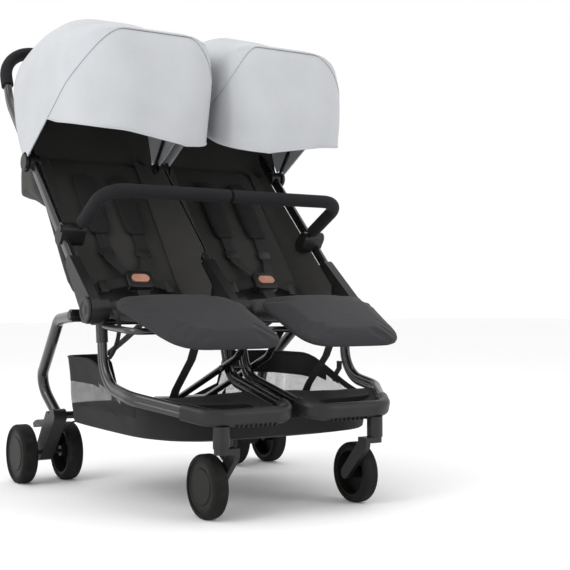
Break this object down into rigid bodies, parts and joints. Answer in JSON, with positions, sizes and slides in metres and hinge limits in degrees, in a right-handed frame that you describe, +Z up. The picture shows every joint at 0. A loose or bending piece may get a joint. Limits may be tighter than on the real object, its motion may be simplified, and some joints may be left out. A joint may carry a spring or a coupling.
{
  "type": "twin pushchair",
  "caption": "Side-by-side folding pushchair for two children, with padded seats, turning hoods, a bumper bar, a basket and swivelling front wheels.",
  "frame": {"origin": "Middle of the footprint on the floor, under the part.", "axes": "+Z up, -Y the front where the children look, +X the right side seen from the front."},
  "size_m": [0.74, 0.9462, 1.1316],
  "materials": {
    "frame_black": "satin",
    "plastic_black": "fine grain",
    "tyre": "matte",
    "wheel_cap": "satin",
    "hood_grey": "woven",
    "seat_black": "woven",
    "pad_charcoal": "woven",
    "basket_cloth": "woven with mesh",
    "webbing": "webbing",
    "grip_foam": "closed-cell foam",
    "buckle_copper": "satin",
    "steel": "brushed"
  },
  "bodies": {
    "chassis": {"front_loop_left": "frame_black", "front_loop_right": "frame_black", "caster_shoe_left": "plastic_black", "caster_shoe_right": "plastic_black", "hinge_bodies": "plastic_black", "centre_hinge": "plastic_black", "frame_rivets": "steel", "braces": "frame_black", "seat_rails": "frame_black", "seat_cushion_left": "seat_black", "seat_cushion_right": "seat_black", "calf_pad_left": "pad_charcoal", "calf_pad_right": "pad_charcoal", "basket": "basket_cloth", "straps": "webbing"},
    "rear_frame": {"rear_leg_left": "frame_black", "rear_leg_right": "frame_black", "rear_crossbar": "frame_black", "rear_housings": "plastic_black", "rear_axles": "steel", "brake_cable": "plastic_black"},
    "brake_pedal": {"brake_pedal": "plastic_black"},
    "upper_frame": {"push_frame": "frame_black", "centre_tube": "frame_black", "handle_tee": "plastic_black", "handle_grips": "grip_foam", "push_knuckles": "plastic_black", "hood_clamps": "plastic_black", "hood_rear_left": "hood_grey", "hood_rear_right": "hood_grey", "seat_wings": "seat_black", "bar_clamps": "plastic_black"},
    "bumper_bar": {"bar_tube": "frame_black", "bar_foam": "grip_foam"},
    "caster_left": {"caster_fork_left": "plastic_black"},
    "front_wheel_left": {"front_tyre_left": "tyre", "front_wheel_left": "wheel_cap"},
    "rear_wheel_outer_left": {"rear_tyre_outer_left": "tyre", "rear_wheel_outer_left": "wheel_cap"},
    "rear_wheel_inner_left": {"rear_tyre_inner_left": "tyre", "rear_wheel_inner_left": "wheel_cap"},
    "hood_left": {"hood_front_left": "hood_grey", "hood_bow_left": "plastic_black"},
    "back_left": {"seat_back_left": "seat_black", "harness_left": "webbing"},
    "bar_button_left": {"bar_button_left": "plastic_black"},
    "buckle_button_left": {"buckle_button_left": "buckle_copper"},
    "caster_right": {"caster_fork_right": "plastic_black"},
    "front_wheel_right": {"front_tyre_right": "tyre", "front_wheel_right": "wheel_cap"},
    "rear_wheel_outer_right": {"rear_tyre_outer_right": "tyre", "rear_wheel_outer_right": "wheel_cap"},
    "rear_wheel_inner_right": {"rear_tyre_inner_right": "tyre", "rear_wheel_inner_right": "wheel_cap"},
    "hood_right": {"hood_front_right": "hood_grey", "hood_bow_right": "plastic_black"},
    "back_right": {"seat_back_right": "seat_black", "harness_right": "webbing"},
    "bar_button_right": {"bar_button_right": "plastic_black"},
    "buckle_button_right": {"buckle_button_right": "buckle_copper"}
  },
  "joints": [
    {"name": "fold", "type": "hinge", "parent": "chassis", "child": "upper_frame", "pos_m": [0, -0.156, 0.423], "axis": [1, 0, 0], "range_deg": [0, 85]},
    {"name": "rear_fold", "type": "hinge", "parent": "chassis", "child": "rear_frame", "pos_m": [0, -0.075, 0.41], "axis": [1, 0, 0], "range_deg": [-56, 0]},
    {"name": "brake_press", "type": "hinge", "parent": "rear_frame", "child": "brake_pedal", "pos_m": [0.294, 0.301, 0.105], "axis": [1, 0, 0], "range_deg": [-22, 0]},
    {"name": "bar_pull", "type": "slide", "parent": "upper_frame", "child": "bumper_bar", "axis": [0, -0.8847, 0.4662], "range_m": [0, 0.04]},
    {"name": "caster_swivel_left", "type": "hinge", "parent": "chassis", "child": "caster_left", "pos_m": [-0.189, -0.453, 0.17], "axis": [0, 0, 1], "continuous": true},
    {"name": "front_spin_left", "type": "hinge", "parent": "caster_left", "child": "front_wheel_left", "pos_m": [-0.185, -0.387, 0.066], "axis": [1, 0, 0], "continuous": true},
    {"name": "rear_spin_outer_left", "type": "hinge", "parent": "rear_frame", "child": "rear_wheel_outer_left", "pos_m": [-0.351, 0.255, 0.071], "axis": [1, 0, 0], "continuous": true},
    {"name": "rear_spin_inner_left", "type": "hinge", "parent": "rear_frame", "child": "rear_wheel_inner_left", "pos_m": [-0.237, 0.255, 0.071], "axis": [1, 0, 0], "continuous": true},
    {"name": "hood_turn_left", "type": "hinge", "parent": "upper_frame", "child": "hood_left", "pos_m": [-0.19, 0.21014, 0.77658], "axis": [1, 0, 0], "range_deg": [-70, 0]},
    {"name": "recline_left", "type": "hinge", "parent": "upper_frame", "child": "back_left", "pos_m": [-0.17, -0.005, 0.432], "axis": [1, 0, 0], "range_deg": [-25, 0]},
    {"name": "bar_release_left", "type": "slide", "parent": "upper_frame", "child": "bar_button_left", "axis": [1, 0, 0], "range_m": [0, 0.003], "stiffness_N_per_m": 300},
    {"name": "buckle_release_left", "type": "slide", "parent": "back_left", "child": "buckle_button_left", "axis": [0, 0.788, -0.6157], "range_m": [0, 0.003], "stiffness_N_per_m": 300},
    {"name": "caster_swivel_right", "type": "hinge", "parent": "chassis", "child": "caster_right", "pos_m": [0.189, -0.453, 0.17], "axis": [0, 0, 1], "continuous": true},
    {"name": "front_spin_right", "type": "hinge", "parent": "caster_right", "child": "front_wheel_right", "pos_m": [0.185, -0.387, 0.066], "axis": [1, 0, 0], "continuous": true},
    {"name": "rear_spin_outer_right", "type": "hinge", "parent": "rear_frame", "child": "rear_wheel_outer_right", "pos_m": [0.351, 0.255, 0.071], "axis": [1, 0, 0], "continuous": true},
    {"name": "rear_spin_inner_right", "type": "hinge", "parent": "rear_frame", "child": "rear_wheel_inner_right", "pos_m": [0.237, 0.255, 0.071], "axis": [1, 0, 0], "continuous": true},
    {"name": "hood_turn_right", "type": "hinge", "parent": "upper_frame", "child": "hood_right", "pos_m": [0.19, 0.21014, 0.77658], "axis": [1, 0, 0], "range_deg": [-70, 0]},
    {"name": "recline_right", "type": "hinge", "parent": "upper_frame", "child": "back_right", "pos_m": [0.17, -0.005, 0.432], "axis": [1, 0, 0], "range_deg": [-25, 0]},
    {"name": "bar_release_right", "type": "slide", "parent": "upper_frame", "child": "bar_button_right", "axis": [-1, 0, 0], "range_m": [0, 0.003], "stiffness_N_per_m": 300},
    {"name": "buckle_release_right", "type": "slide", "parent": "back_right", "child": "buckle_button_right", "axis": [0, 0.788, -0.6157], "range_m": [0, 0.003], "stiffness_N_per_m": 300}
  ],
  "couplings": [
    {"joint": "rear_fold", "follows": "fold", "ratio": -0.647}
  ]
}
